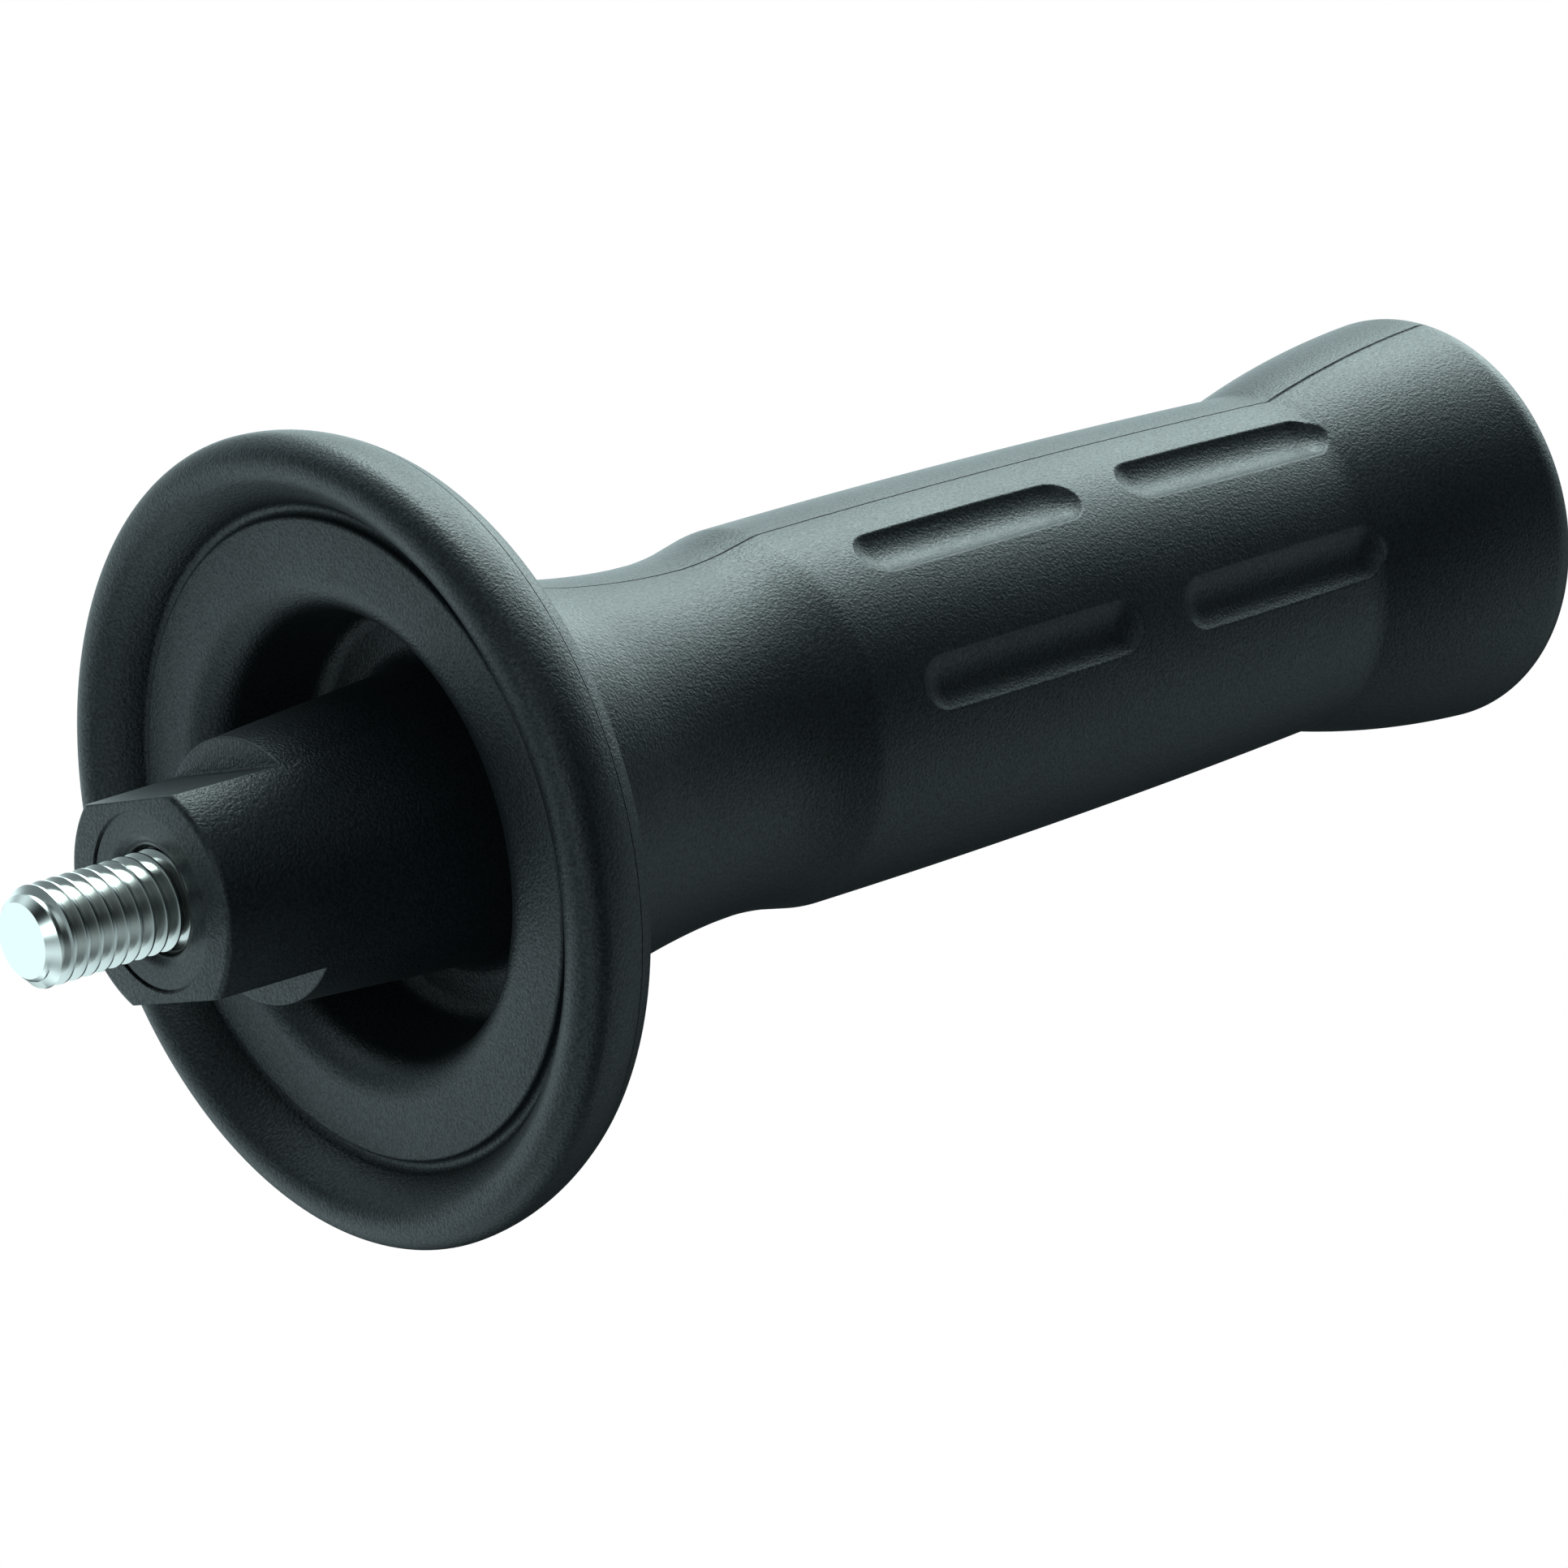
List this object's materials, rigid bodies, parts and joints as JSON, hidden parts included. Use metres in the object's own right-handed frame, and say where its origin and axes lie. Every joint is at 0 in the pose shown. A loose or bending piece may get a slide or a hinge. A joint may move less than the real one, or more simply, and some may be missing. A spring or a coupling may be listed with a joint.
{
  "type": "power tool side handle",
  "caption": "Moulded side handle with a hand guard flange, crowned grip with long slots, flared open end and a threaded stud in a hub with spanner flats.",
  "frame": {"origin": "centre of the rear end that the handle stands on", "axes": "+Z along the handle's axis from the rear end towards the stud; XZ is the moulding's parting plane"},
  "size_m": [0.066, 0.066, 0.157],
  "materials": {
    "nylon": "glass-filled nylon, fine spark-eroded texture",
    "zinc_plated_steel": "bright zinc plate"
  },
  "bodies": {
    "root": {"handle_body": "nylon", "threaded_stud": "zinc_plated_steel"}
  },
  "joints": []
}
